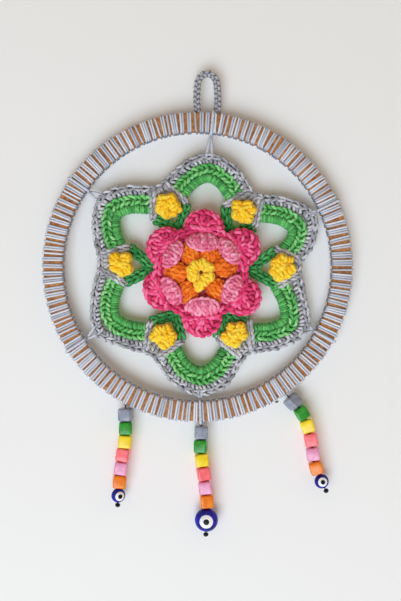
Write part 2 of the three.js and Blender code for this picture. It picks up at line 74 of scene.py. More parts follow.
BOBBLE_LEVEL = 3.6
CUBE = 8.0
BEAD_BORE = 2.2
LARGE_EYE = dict(radius=7.3, half_depth=5.2, white=4.2, pupil=1.9)
SMALL_EYE = dict(radius=4.5, half_depth=3.4, white=2.9, pupil=1.5)
EYE_BORE = 1.8
SEED_RADIUS = 1.6
SEED_HEIGHT = 2.2
THREAD = 0.8
STRAND_DROP = 2.0
WRAP_THICKNESS = 1.2

# The lobes, anticlockwise from the top. tip: its angle and gap to the hoop. crown: its angle and gap to the
# tip. feet: how far out the arch's ends stand. tie: its angle round the hoop. spread: between its ends.
Lobe = namedtuple("Lobe", "name tip crown bulge feet tie spread")
LOBES = [
    Lobe("top", (86.1, 10.3), (85.4, 10.9), 2.4, (5.4, 4.8), 84.2, 3.4),
    Lobe("upper_left", (143.4, 5.6), (145, 11.5), 2.4, (6.5, 4.2), 145.3, 4.6),
    Lobe("lower_left", (208.7, 8.7), (207, 12.4), 2.4, (2.2, 3.6), 213, 4.6),
    Lobe("bottom", (269.5, 8.7), (269.4, 11.2), 3.2, (5, 8.2), 271.1, 2.6),
    Lobe("lower_right", (331.7, 9.2), (330.7, 11.9), 2.4, (5.3, -2.6), 331.2, 6.0),
    Lobe("upper_right", (388, 4.9), (386.1, 12.7), 2.4, (4.4, 6.8), 385.1, 2.0),
]
# The bobble after each lobe. For the look alone, lean is how far its ball lies off its place, outwards and
# aside, and each lump has an angle and a distance from the ball's middle, and a size.
Bobble = namedtuple("Bobble", "name angle inset valley lean lumps")
BOBBLES = [
    Bobble("upper_left", 116.4, 37.1, 11, (-0.6, 0.1),
           [(135, 3.6, 4.2), (60, 3.6, 4.2), (-5, 4.0, 3.9), (-50, 5.0, 3.0), (-98, 4.0, 4.0),
            (205, 3.6, 4.2), (-20, 7.3, 1.8)]),
    Bobble("left", 173.9, 33.9, 11, (-0.3, -0.3),
           [(140, 4.0, 4.2), (45, 4.2, 3.9), (-38, 4.8, 3.8), (-78, 4.0, 3.9), (205, 3.2, 3.9)]),
    Bobble("lower_left", 238.8, 37.8, 11, (-0.5, 0.7),
           [(178, 5.1, 3.3), (130, 4.2, 3.9), (66, 4.1, 4.0), (5, 4.2, 3.8), (-34, 3.9, 3.5),
            (-82, 3.6, 4.1)]),
    Bobble("lower_right", 299.6, 40.0, 11.5, (-0.5, -0.7),
           [(192, 5.6, 3.1), (120, 4.8, 2.8), (55, 5.0, 3.8), (0, 4.0, 3.8), (-86, 4.2, 3.6),
            (230, 4.5, 3.3)]),
    Bobble("right", 363.8, 32.8, 8, (-1.3, -0.3),
           [(92, 4.3, 4.3), (42, 6.7, 2.1), (-8, 5.1, 3.5), (-48, 4.2, 3.5), (250, 4.6, 4.0),
            (200, 4.0, 3.9), (142, 3.9, 3.9)]),
    Bobble("upper_right", 415.4, 37.5, 11, (-0.7, -0.2),
           [(137, 5.0, 3.6), (56, 3.8, 3.7), (12, 4.2, 3.7), (-54, 4.2, 3.7), (204, 4.0, 3.6),
            (-95, 3.0, 3.7)]),
]
# Puffs and petals: the angle and the radius about the flower's middle. For the look alone, a light pink one
# has half its width too, and a hot pink one how far it folds in.
ORANGE = [(13.5, 15.6), (65.8, 13.7), (119, 13.4), (180, 15.4), (235.6, 14.6), (313.3, 14.8)]
LIGHT_PINK = [(37, 22.4, 8.9), (86, 19.4, 10.2), (148, 21.3, 8.7), (212, 22.2, 8.9), (272, 21.9, 10.2),
              (331.3, 22.1, 9.0)]
HOT_PINK = [(31.9, 33, 1.4), (86.6, 31.4, 1.9), (144, 30.9, 1.9), (203.8, 29.6, 1.3), (271, 33.4, 3.0),
            (329.6, 33.2, 1.4)]


def row(points):
    """Drawing millimetres as the frame's metres."""
    return np.stack([points[..., 0], -points[..., 2], points[..., 1]], -1) * MM


def polar(angle, radius=1.0, about=(0, 0)):
    a = np.radians(angle)
    return np.stack([about[0] + radius * np.cos(a), about[1] + radius * np.sin(a)], -1)


def new_object(name, data):
    thing = bpy.data.objects.new(name, data)
    bpy.context.scene.collection.objects.link(thing)
    return thing


# Camera first

CAMERA_DISTANCE = 0.474  # from the hoop's middle plane
FRAME_HEIGHT = 0.3756  # what the picture takes in at that plane
FRAME_MIDDLE = (-0.00425, -0.1397)

camera = new_object("camera", bpy.data.cameras.new("camera"))
camera.data.lens = camera.data.sensor_width * CAMERA_DISTANCE / FRAME_HEIGHT
camera.data.clip_start = 0.01
camera.location = (FRAME_MIDDLE[0], -CAMERA_DISTANCE, FRAME_MIDDLE[1])
camera.rotation_euler = (np.pi / 2, 0, 0)
bpy.context.scene.camera = camera

# Curves and tubes of yarn

PLIES = 2


def unit(v):
    return v / np.maximum(np.linalg.norm(v, axis=-1, keepdims=True), 1e-9)


def lengths(points):
    """How far along a curve each of its points lies."""
    return np.concatenate([[0], np.cumsum(np.linalg.norm(np.diff(points, axis=0), axis=1))])


def smooth(points, step, closed=False):
    """A curve through the points, as evenly spaced points about step apart."""
    p = np.asarray(points, float)
    before, after = (p[-1], p[:2]) if closed else (2 * p[0] - p[1], 2 * p[-1] - p[-2])
    p = np.vstack([before, p, after])
    t = np.linspace(0, 1, 8, endpoint=False)[:, None]
    spans = [0.5 * (2 * b + (c - a) * t + (2 * a - 5 * b + 4 * c - d) * t**2
                    + (3 * b - a - 3 * c + d) * t**3)
             for a, b, c, d in zip(p, p[1:], p[2:], p[3:])]
    line = np.vstack(spans + [p[-2:-1]])
    far = lengths(line)
    even = np.linspace(0, far[-1], max(2, round(far[-1] / step)) + 1)
    return np.stack([np.interp(even, far, line[:, i]) for i in range(line.shape[1])], 1)


class Line:
    """A flat curve that stitches lie along. Aside is to the right of its direction."""

    def __init__(self, points, closed=False):
        self.points = smooth(points, 0.5, closed)
        self.closed = closed
        self.far = lengths(self.points)
        self.length = self.far[-1]
        p = self.points
        before, after = (p[-2], p[1]) if closed else (2 * p[0] - p[1], 2 * p[-1] - p[-2])
        p = np.vstack([before, p, after])
        self.ahead = unit(p[2:] - p[:-2])

    def at(self, along, aside, level):
        along, aside, level = np.broadcast_arrays(along, aside, level)
        inside = np.mod(along, self.length) if self.closed else np.clip(along, 0, self.length)
        past = 0 if self.closed else along - inside
        x, y = (np.interp(inside, self.far, self.points[:, i]) for i in (0, 1))
        ax, ay = (np.interp(inside, self.far, self.ahead[:, i]) for i in (0, 1))
        return np.stack([x + past * ax + aside * ay, y + past * ay - aside * ax, level], -1)


def circle(radius, step=20):
    return Line(polar(np.arange(0, 360, step), radius, FLOWER), closed=True)


def rings(angles, radius, level, about=(0, 0)):
    """Points on circles, from values that spread over rows and the points round each."""
    flat = polar(angles, radius, about)
    return np.concatenate([flat, np.broadcast_to(level, flat.shape[:2])[..., None]], -1).reshape(-1, 3)


def grid(rows, around, closed=False):
    """The faces over rows of points, each row a ring. closed joins the last row to the first."""
    i, j = np.meshgrid(np.arange(rows if closed else rows - 1), np.arange(around), indexing="ij")
    k, m = (j + 1) % around, (i + 1) % rows
    return np.stack([i * around + j, m * around + j, m * around + k, i * around + k], -1).reshape(-1, 4)


def caps(rows, around):
    """The faces that close the first and the last row of a grid."""
    ring = np.arange(around)
    return np.stack([ring, (rows - 1) * around + ring[::-1]])


class Yarn:
    """Tubes gathered into one mesh, each with a UV map along and round it and a shade of its own, darkened as
    painted shade on its ends and on its sides that face away from the front.
    """

    def __init__(self, shades=(0.55, 0.95)):
        self.shades = shades
        # front sets which way the painted side shade in tube() is taken from
        self.front = 1  # minus one while it draws what only shows from behind
        self.points, self.loops, self.starts, self.uv, self.shade = [], [], [], [], []
        self.count = 0
        self.corners = 0

    def add(self, points, shade, faces, ends=None, uv=(0, 0), end_uv=(0, 0)):
        """Points with their faces, and with the faces of their ends if they have any."""
        for some, places in ((faces, uv), (ends, end_uv)):
            if some is not None:
                self.loops.append(some.ravel() + self.count)
                self.starts.append(self.corners + np.arange(len(some)) * some.shape[1])
                self.uv.append(np.broadcast_to(places, (some.size, 2)))
                self.corners += some.size
        self.points.append(points)
        self.shade.append(np.broadcast_to(shade, len(points)))
        self.count += len(points)

    def tube(self, path, width, height=None, groove=0.3, lay=2.6, up=None, shade=None, fade=0.15):
        """A plied tube along a path. width and shade may change along it, a ply takes lay widths to go round,
        up keeps a flat one flat, and fade is the share of its shade that is left where its ends tuck in, as
        painted shade. Its sides that face away from the front are darkened too, as painted shade."""
        n = len(path)
        along = unit(np.gradient(path, axis=0))
        far = lengths(path)
        share = far / far[-1]
        width = np.interp(share, np.linspace(0, 1, np.size(width)), np.ravel(width))
        tall = width if height is None else np.full(n, height)
        if up is None:
            across = np.empty_like(path)
            v = np.cross(along[0], (0.3, 0.2, 1))
            for i, t in enumerate(along):
                v = v - t * (v @ t)
                v = v / np.sqrt(v @ v)
                across[i] = v
        else:
            across = unit(np.cross(along, up))
        over = np.cross(across, along)
        sides = 3 * PLIES
        spoke = np.where(np.arange(sides) % 3 == 0, 1 - groove, 1.0)
        twist = 2 * np.pi * far / (lay * width.mean()) + rng.uniform(0, 2 * np.pi) if lay else np.zeros(n)
        turn = np.arange(sides) * 2 * np.pi / sides + twist[:, None]
        near_end = np.minimum(far, far[-1] - far) / (0.5 * np.minimum(width, tall))
        swell = np.sqrt(np.clip(1 - (1 - np.clip(near_end, 0.04, 1)) ** 2, 0, 1))
        x, y = np.cos(turn)[..., None] * across[:, None], np.sin(turn)[..., None] * over[:, None]
        reach = 0.5 * (spoke * swell[:, None])[..., None]
        ring = path[:, None] + reach * (x * width[:, None, None] + y * tall[:, None, None])
        # Painted shade: darker on the sides that face away from the front, and towards the ends where they
        # tuck in.
        front = np.array([0, 0, 1.0]) if up is None else up[:, None]
        side = self.front if path[:, 2].mean() > -0.5 or up is not None else -1
        facing = ((x + y) * front).sum(-1) * side
        shade = rng.uniform(*self.shades) if shade is None else shade
        tuck = fade + (1 - fade) * np.sin(np.pi * np.clip(share, 0.01, 0.99)) ** 0.7
        tone = np.broadcast_to(shade, n)[:, None] * (0.7 + 0.3 * facing) * tuck[:, None]
        i, j = np.divmod(np.arange((n - 1) * sides)[:, None], sides)
        uv = np.stack([(far / width.mean())[i + [1, 1, 0, 0]], (j + [0, 1, 1, 0]) / sides], -1)
        self.add(ring.reshape(-1, 3), tone.ravel(), np.roll(grid(n, sides), -1, 1), caps(n, sides),
                 uv.reshape(-1, 2), (0, 0.5))

    def band(self, line, inner, outer, thick, level=0.0, shade=0.25):
        """A flat ribbon along a line, which backs the stitches. Its low shade is painted shade in the gaps
        between them.
        """
        s = line.far[::4][:-1] if line.closed else np.append(line.far[:-1:4], line.length)
        low, high = level - thick / 2, level + thick / 2
        section = [(inner, low), (inner, high), (outer, high), (outer, low)]
        ring = np.stack([line.at(s, aside, height) for aside, height in section], 1)
        ends = None if line.closed else caps(len(s), 4)
        self.add(ring.reshape(-1, 3), shade, grid(len(s), 4, line.closed), ends)

    def piece(self, name, material, *nodes, slot=None, body="hoop"):
        mesh = bpy.data.meshes.new(name)
        points = row(np.vstack(self.points))
        loops = np.concatenate(self.loops)
        starts = np.concatenate(self.starts)
        mesh.vertices.add(len(points))
        mesh.vertices.foreach_set("co", points.ravel())
        mesh.loops.add(len(loops))
        mesh.loops.foreach_set("vertex_index", loops.astype(np.int32))
        mesh.polygons.add(len(starts))
        mesh.polygons.foreach_set("loop_start", starts.astype(np.int32))
        mesh.uv_layers.new(name="yarn").data.foreach_set("uv", np.concatenate(self.uv).ravel())
        shade = mesh.attributes.new("shade", "FLOAT", "POINT")
        shade.data.foreach_set("value", np.concatenate(self.shade).astype(np.float32))
        mesh.update(calc_edges=True)
        mesh.validate()
        return settle(mesh, material, body, nodes)


def settle(mesh, material, body, nodes):
    mesh.shade_smooth()
    mesh.materials.append(MATERIALS[material])
    piece = new_object(mesh.name, mesh)
    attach(piece, body)
    if nodes:
        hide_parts(*nodes)
    return piece


# Materials


def srgb(*color):
    c = np.array(color) / 255
    return (*np.where(c <= 0.04045, c / 12.92, ((c + 0.055) / 1.055) ** 2.4), 1.0)


MATERIALS = {}


class Paint:
    """The nodes of a new material, or of a new world."""

    def __init__(self, name, world=False):
        self.name = name
        self.owner = (bpy.data.worlds if world else bpy.data.materials).new(name)
        self.owner.use_nodes = True
        self.nodes, self.links = self.owner.node_tree.nodes, self.owner.node_tree.links

    def fill(self, node, values):
        """Sets a node's inputs: the output of a node by a link, anything else as it is."""
        for name, value in values.items():
            if isinstance(value, bpy.types.NodeSocket):
                self.links.new(value, node.inputs[name])
            else:
                node.inputs[name].default_value = value
        return node

    def new(self, kind, **values):
        return self.fill(self.nodes.new("ShaderNode" + kind), values)

    def place(self):
        return self.new("TexCoord").outputs["Object"]

    def ray(self, kind):
        return self.new("LightPath").outputs[f"Is {kind} Ray"]

    def noise(self, vector, scale, detail=2.0):
        return self.new("TexNoise", Vector=vector, Scale=scale, Detail=detail).outputs["Fac"]

    def stretched(self, vector, scale, turn=0.0):
        rotation = (0, 0, np.radians(turn))
        return self.new("Mapping", Vector=vector, Scale=scale, Rotation=rotation).outputs["Vector"]

    def bump(self, height, distance, strength):
        return self.new("Bump", Height=height, Distance=distance, Strength=strength).outputs["Normal"]

    def combine(self, operation, a, b):
        node = self.new("Math")
        node.operation = operation
        return self.fill(node, {0: a, 1: b}).outputs["Value"]

    def total(self, first, *others):
        """The sum of some outputs, each times its share."""
        tone = self.combine("MULTIPLY", *first)
        for other in others:
            tone = self.combine("ADD", tone, self.combine("MULTIPLY", *other))
        return tone

    def ramp(self, source, *stops):
        node = self.new("ValToRGB", Fac=source)
        while len(node.color_ramp.elements) < len(stops):
            node.color_ramp.elements.new(0.5)
        for element, (place, color) in zip(node.color_ramp.elements, stops):
            element.position = place
            element.color = srgb(*color)
        return node.outputs["Color"]

    def mix(self, share, first, second, output):
        """Sends a mix of two shaders to the output."""
        node = self.fill(self.new("MixShader"), {"Fac": share, 1: first, 2: second})
        self.fill(self.nodes[output], {"Surface": node.outputs["Shader"]})

    def finish(self, color, normal, roughness, gloss=0.5, coat=(0, 0.03), sheen=(0, 0.5)):
        """Sets the material's own shader, and keeps it. Coat and sheen have a weight and a roughness."""
        self.fill(self.nodes["Principled BSDF"], {
            "Base Color": color, "Normal": normal, "Roughness": roughness, "Specular IOR Level": gloss,
            "Coat Weight": coat[0], "Coat Roughness": coat[1],
            "Sheen Weight": sheen[0], "Sheen Roughness": sheen[1],
        })
        MATERIALS[self.name] = self.owner


def yarn_material(name, dark, base, light):
    """Cotton yarn: slanting fibres, each strand a tone of its own, with painted shade from its shade
    attribute where it tucks in and on its sides that face away.
    """
    paint = Paint(name)
    uv = paint.new("UVMap")
    uv.uv_map = "yarn"
    slanted = paint.stretched(uv.outputs["UV"], (1, 3, 1), 32)
    fibres = paint.noise(paint.stretched(slanted, (1.4, 8, 1)), 1.0, 3.0)
    patches = paint.noise(paint.place(), 420)
    # The shade attribute: each strand's own tone, times painted shade on its ends and away-facing sides.
    own = paint.new("Attribute")
    own.attribute_name = "shade"
    tone = paint.total((own.outputs["Fac"], 0.66), (fibres, 0.34), (patches, 0.16))
    color = paint.ramp(tone, (0.22, dark), (0.64, base), (0.98, light))
    normal = paint.bump(fibres, distance=0.0005, strength=0.6)
    paint.finish(color, normal, roughness=0.8, gloss=0.25, sheen=(0.15, 0.5))


def wood_material():
    paint = Paint("wood")
    place = paint.place()
    grain = paint.noise(paint.stretched(place, (1, 3, 1)), 520, 5.0)
    tone = paint.total((grain, 0.65), (paint.noise(place, 70), 0.35))
    color = paint.ramp(tone, (0.34, (122, 73, 33)), (0.5, (170, 110, 57)), (0.66, (198, 142, 85)))
    paint.finish(color, paint.bump(grain, distance=0.0002, strength=0.4), roughness=0.7)


def glaze_material(name, dark, base, light):
    """Glazed ceramic: the colour pools a little, and the gloss is not quite even."""
    paint = Paint(name)
    place = paint.place()
    pools = paint.noise(place, 260)
    tone = paint.total((pools, 0.75), (paint.noise(place, 1500), 0.25))
    rough = paint.fill(paint.new("MapRange"), {"Value": pools, "To Min": 0.14, "To Max": 0.3})
    color = paint.ramp(tone, (0.3, dark), (0.5, base), (0.72, light))
    normal = paint.bump(pools, distance=0.0006, strength=0.25)
    paint.finish(color, normal, rough.outputs["Result"], gloss=0.3, coat=(0.2, 0.08))


def glass_material(name, dark, base, roughness=0.09, coat=0.14, gloss=0.2):
    """Opaque lampwork glass, with faint swirls."""
    paint = Paint(name)
    swirl = paint.noise(paint.stretched(paint.place(), (1, 1, 2.5)), 160, 3.0)
    color = paint.ramp(swirl, (0.35, dark), (0.65, base))
    normal = paint.bump(swirl, distance=0.0003, strength=0.1)
    paint.finish(color, normal, roughness, gloss, coat=(coat, 0.04))


yarn_material("grey_wrap", (104, 105, 119), (193, 196, 208), (235, 237, 246))
yarn_material("grey_yarn", (76, 76, 83), (178, 178, 184), (226, 225, 230))
yarn_material("green_yarn", (37, 117, 57), (96, 189, 98), (162, 228, 150))
yarn_material("leaf_yarn", (12, 80, 37), (48, 146, 69), (110, 202, 118))
yarn_material("yellow_yarn", (226, 132, 0), (255, 199, 14), (255, 228, 78))
yarn_material("orange_yarn", (172, 60, 0), (242, 110, 6), (254, 152, 40))
yarn_material("light_pink_yarn", (166, 48, 90), (236, 110, 146), (253, 176, 200))
yarn_material("hot_pink_yarn", (142, 8, 50), (238, 58, 118), (254, 122, 168))
yarn_material("thread", (30, 27, 24), (58, 53, 47), (92, 86, 78))
wood_material()
GLAZES = {
    "grey": ((118, 122, 136), (140, 145, 160), (160, 165, 178)),
    "green": ((16, 110, 16), (34, 140, 26), (62, 164, 52)),
    "yellow": ((236, 194, 10), (245, 213, 28), (250, 226, 72)),
    "coral": ((240, 88, 96), (250, 110, 117), (253, 136, 140)),
    "pink": ((216, 128, 164), (230, 150, 184), (240, 174, 204)),
    "orange": ((222, 96, 0), (240, 124, 0), (247, 146, 22)),
}
for color, shades in GLAZES.items():
    glaze_material(f"{color}_glaze", *shades)
glass_material("blue_glass", (14, 8, 106), (32, 24, 176))
glass_material("white_glass", (232, 232, 228), (248, 248, 246))
glass_material("black_glass", (6, 6, 7), (12, 12, 13), roughness=0.3, coat=0.05, gloss=0.12)

# Hanging loop: a braid of three yarns, a cord that comes back to the hoop

BRAID_PERIOD = 9.5
BRAID_YARN = 2.1
BRAID_ASIDE = 1.35  # how far each yarn swings aside
BRAID_DEPTH = 0.8  # and to the front and back
LOOP_BULGE = 0.4  # how far the legs stand out, halfway down
LOOP_TUCK = 2.6  # how far the ends go in under the winding


def hanging_loop():
    half = LOOP_INSIDE_WIDTH / 2 + LOOP_CORD / 2
    wide = half + LOOP_BULGE
    spring = LOOP_CORD / 2 - LOOP_ARCH
    turns = np.radians(np.linspace(180, 0, 9))
    arch = np.stack([half * np.cos(turns), spring + LOOP_ARCH * np.sin(turns)], -1)
    low, end = (spring - LOOP_DROP) / 2, -LOOP_DROP - LOOP_TUCK
    line = Line(np.vstack([[[-half, end], [-wide, low]], arch, [[wide, low], [half, end]]]))
    braid = Yarn()
    s = np.arange(0, line.length, 0.4)
    for k in range(3):
        phase = 2 * np.pi * (s / BRAID_PERIOD + k / 3)
        over = np.sin(2 * phase)
        path = line.at(s, BRAID_ASIDE * np.sin(phase), BRAID_DEPTH * over)
        # Painted shade: each yarn is darker where it passes halfway in depth, between the other two.
        braid.tube(path, BRAID_YARN, shade=0.04 + 0.6 * np.abs(over), fade=1)
    piece = braid.piece("hanging_loop_braid", "grey_yarn", "hanging_loop", body="hanging_loop")
    path = row(line.at(line.far, 0, 0))


hanging_loop()

# Hoop and its winding

WRAP_GROUPS = 136  # turns of yarn lie in groups, with a slit of wood after each
WRAP_START = 78  # degrees round the hoop
WRAP_YARN = 1.4
WRAP_FLAT = 1.0  # its height on the wood, pulled tight
WRAP_MIDDLE = HOOP_OUTER - HOOP_WIDTH / 2


def hoop_section(lift, turns):
    """Places round the hoop's section, at these turns of its corners and this far off the wood: outwards,
    level and the way off the wood."""
    half_width, half = HOOP_WIDTH / 2 - HOOP_EDGE, HOOP_THICKNESS / 2 - HOOP_EDGE
    way = []
    for sx, sy, start in ((1, -1, 270), (1, 1, 0), (-1, 1, 90), (-1, -1, 180)):
        for turn in turns:
            x, y = polar(start + turn)
            way.append((sx * half_width + (HOOP_EDGE + lift) * x, sy * half + (HOOP_EDGE + lift) * y, x, y))
    return np.array(way)


def hoop_ring():
    section = hoop_section(0, (0, 30, 60, 90))
    angles = np.arange(0, 360, 1.5)
    points = rings(angles[:, None], WRAP_MIDDLE + section[:, 0], section[:, 1], HOOP)
    yarn = Yarn()
    yarn.add(points, 0.5, grid(len(angles), len(section), True))
    yarn.piece("hoop_wood", "wood", "hoop_ring")


def round_hoop(lift):
    """The way of a yarn round the hoop's section."""
    return hoop_section(lift, (5, 45, 85))[::-1]


def wrapped_turns():
    """Where each turn crosses the front and how far it leans, in groups of one to three."""
    sizes = rng.choice([2, 2, 2, 3, 2, 2, 1, 2], WRAP_GROUPS)
    slits = rng.uniform(0.7, 1.9, WRAP_GROUPS)
    slits *= (2 * np.pi * WRAP_MIDDLE - sizes.sum() * WRAP_YARN) / slits.sum()
    starts = np.concatenate([[0], np.cumsum(sizes * WRAP_YARN + slits)[:-1]])
    places = [start + WRAP_YARN * (0.5 + t) for start, size in zip(starts, sizes) for t in range(size)]
    leans = rng.uniform(-0.75, 0.75, WRAP_GROUPS) * np.minimum(slits, np.roll(slits, 1))
    angles = np.degrees(np.array(places) / WRAP_MIDDLE) + WRAP_START
    return angles, np.degrees(np.repeat(leans, sizes) / WRAP_MIDDLE)


def hoop_wrap():
    angles, leans = wrapped_turns()
    way = round_hoop(WRAP_FLAT / 2 - 0.05)
    share = np.linspace(0, 1, len(way), endpoint=False)
    onward = np.clip((share - 0.75) / 0.25, 0, 1)  # it goes on to the next turn behind the hoop
    lean = np.cos(2 * np.pi * (share - 0.21))
    path, up = [], []
    steps = np.diff(np.append(angles, angles[0] + 360))
    for angle, step, tilt in zip(angles, steps, leans):
        turn = angle + step * onward + tilt * lean
        path.append(np.column_stack([polar(turn, WRAP_MIDDLE + way[:, 0], HOOP), way[:, 1]]))
        up.append(np.column_stack([polar(turn, way[:, 2]), way[:, 3]]))
    # Painted shade: each turn gets darker where it goes round the hoop's edges, almost to the dark colour on
    # the inner side. The random tone of each turn is its own.
    edge = np.where(way[:, 2] < 0, 0.02, 0.3)
    shade = np.outer(rng.uniform(0.55, 1.12, len(angles)), edge + (1 - edge) * np.abs(way[:, 3])).ravel()
    yarn = Yarn()
    yarn.tube(np.vstack(path), WRAP_YARN, WRAP_FLAT, groove=0.05, lay=0, up=np.vstack(up), shade=shade,
              fade=1)
    yarn.piece("hoop_winding", "grey_wrap", "hoop_wrap", slot="grey_yarn")


hoop_ring()
hoop_wrap()

# Stitches


def spaced(line, pitch, lead):
    """How many stitches a line takes, and their true pitch. lead carries them on past its ends."""
    full = line.length + 2 * lead
    count = max(1, round(full / pitch))
    return count, full / count


def chain(yarn, line, aside, level, width, pitch, thick, face=1, lead=0.0, loose=1.0):
    """A row of V stitches, whose two legs spread from the middle and dive under the next."""
    count, p = spaced(line, pitch, lead)
    spread = (width - thick) / 2
    for i in range(count):
        for side in (-1, 1):
            along = p * (i + np.array([-0.18, 0.2, 0.6, 0.95, 1.2])) - lead
            out = aside + side * spread * np.array([0.12, 0.45, 0.85, 1.0, 0.85])
            up = level + face * thick * np.array([-0.5, 0.15, 0.3, 0.05, -0.6])
            along += rng.normal(0, 0.04 * loose * p, 5)
            path = line.at(along, out + rng.normal(0, 0.03 * loose * width, 5), up)
            yarn.tube(smooth(path, 0.32 * thick), thick * np.array([0.75, 1, 1.1, 1, 0.7]))


def leaves(yarn, line, aside, level, pitch, thick, length, rise, face=1, lead=0.0):
    """A rope of slanting leaf-shaped strands along a line. rise is how far each climbs across the row."""
    count, p = spaced(line, pitch, lead)
    for i in range(count):
        middle = p * (i + 0.5) - lead + rng.normal(0, 0.05 * p)
        along = middle + length * np.array([-0.5, -0.25, 0, 0.25, 0.5])
        out = aside + rise * np.array([-0.5, -0.3, 0, 0.32, 0.5]) + rng.normal(0, 0.1)
        up = level + face * thick * np.array([-0.55, 0.1, 0.28, 0.1, -0.55])
        path = smooth(line.at(along, out, up), 0.32 * thick)
        yarn.tube(path, thick * np.array([0.75, 1, 1.1, 1, 0.75]))


def posts(yarn, line, start, end, level, pitch, thick, slant=0.0, face=1, wrap=0.0, lead=0.0):
    """Legs of stitches across a band, side by side. wrap takes them that far round the band's start."""
    count, p = spaced(line, pitch, lead)
    sign = 1 if end > start else -1
    for i in range(count):
        s = p * (i + 0.5) - lead + rng.normal(0, 0.1 * p)
        out = start + (end - start) * np.array([0, 0.3, 0.7, 1])
        up = level + face * thick * np.array([-0.4, 0.25, 0.25, -0.7])
        along = s + slant * np.array([-0.5, -0.2, 0.2, 0.5])
        if wrap:
            out = np.concatenate([[start + sign * wrap, start - sign * 0.25 * thick], out])
            up = np.concatenate([[-level, 0], up])
            along = np.concatenate([[along[0], along[0]], along])
        yarn.tube(smooth(line.at(along, out, up), 0.34 * thick), thick)


# Mandala lines, as in the CAD


def near(bobble, distance, aside):
    """A place outwards and aside of a bobble's middle."""
    middle = polar(bobble.angle, HOOP_INNER - bobble.inset, FLOWER)
    return middle + polar(bobble.angle, distance) + polar(bobble.angle + 90, aside)


def arch_line(lobe, before, after):
    start = near(before, lobe.feet[0], ARCH_FOOT_ASIDE)
    end = near(after, lobe.feet[1], -ARCH_FOOT_ASIDE)
    crown = polar(lobe.crown[0], HOOP_INNER - lobe.tip[1] - lobe.crown[1], FLOWER)

    def shoulder(a, b):
        out = unit(np.array([b[1] - a[1], a[0] - b[0]]))
        return (a + b) / 2 + out * lobe.bulge

    return Line([start, shoulder(start, crown), crown, shoulder(crown, end), end])


ARCHES = [arch_line(lobe, BOBBLES[k - 1], BOBBLES[k]) for k, lobe in enumerate(LOBES)]


def border_line():
    outside = (ARCH_WIDTH + BORDER_WIDTH) / 2 + CLEARANCE
    points = []
    for lobe, arch, bobble in zip(LOBES, ARCHES, BOBBLES):
        early, late = (arch.at(arch.length * share, outside, 0)[:2] for share in (0.25, 0.75))
        tip = polar(lobe.tip[0], HOOP_INNER - lobe.tip[1] - BORDER_WIDTH / 2, FLOWER)
        points += [early, tip, late, near(bobble, bobble.valley, 0)]
    return Line(points, closed=True)


WEB_ASIDES = (-4.4, -1.5, 1.5, 4.4)  # stitches that fill the fork behind a bobble
WEB_MIDDLE = 7.5  # how far out of the bobble's middle they bend
WEB_END = 5.0


def grey_border():
    yarn = Yarn((0.38, 1.05))
    line = border_line()
    # Painted shade: a near-black backing, so the gaps between the stitches look deep.
    yarn.band(line, -2.0, 2.0, thick=1.0, shade=0.05)
    for face in (1, -1):
        chain(yarn, line, 1.4, face * 1.3, width=4.8, pitch=4.6, thick=2.0, face=face, loose=1.8)
        posts(yarn, line, -3.2, 0.1, face * 1.0, pitch=2.7, thick=2.2, slant=1.6, face=face)
    for bobble in BOBBLES:
        for side in (-1, 1):
            outer = near(bobble, bobble.valley + POST_PAST_VALLEY, side * POST_OUTER_ASIDE)
            inner = near(bobble, POST_INNER_DISTANCE, side * POST_INNER_ASIDE)
            post = Line([outer, (outer + inner) / 2, inner])
            yarn.band(post, -1.6, 1.6, thick=1.6, level=0.4, shade=0.6)
            for lane in (-1, 1):
                leaves(yarn, post, 1.1 * lane, 1.9, pitch=3.2, thick=2.2, length=5.6, rise=1.4)
                leaves(yarn, post, 1.1 * lane, -1.2, pitch=3.6, thick=2.0, length=5.6, rise=1.2, face=-1)
        for aside in WEB_ASIDES:
            start = near(bobble, bobble.valley + 0.5, 0.7 * aside)
            web = Line([start, near(bobble, WEB_MIDDLE, aside), near(bobble, WEB_END, aside)])
            yarn.band(web, -1.2, 1.2, thick=1.2, shade=0.3)
            for face in (1, -1):
                leaves(yarn, web, 0, 0.9 * face, pitch=3.2, thick=2.2, length=5.0, rise=0.8, face=face)
    yarn.piece("border_crochet", "grey_yarn", "grey_border")


# The roll's range of tones is set darker than the chain's: painted shade on the same green yarn.
ROLL_SHADES = (0.15, 0.78)
CHAIN_SHADES = (0.45, 1.15)
ARCH_TUCK = 2.2  # how far an arch's rows go on under the border's posts


def green_arches():
    """Two rows: a soft roll round the opening, and a bold chain beside the border."""
    for lobe, line in zip(LOBES, ARCHES):
        yarn = Yarn()
        yarn.band(line, -4.8, 4.9, thick=1.2, shade=0.4)
        for face in (1, -1):
            yarn.shades = ROLL_SHADES
            wrap = 1.4 if face > 0 else 0
            posts(yarn, line, -5.2, -0.9, face * 1.2, pitch=1.62, thick=2.1, slant=0.6, face=face, wrap=wrap,
                  lead=ARCH_TUCK)
            yarn.shades = CHAIN_SHADES
            chain(yarn, line, 2.2, face * 1.5, width=6.9, pitch=3.0, thick=2.1, face=face, lead=ARCH_TUCK,
                  loose=1.8)
        yarn.piece(f"arch_crochet_{lobe.name}", "green_yarn", f"green_arch_{lobe.name}")


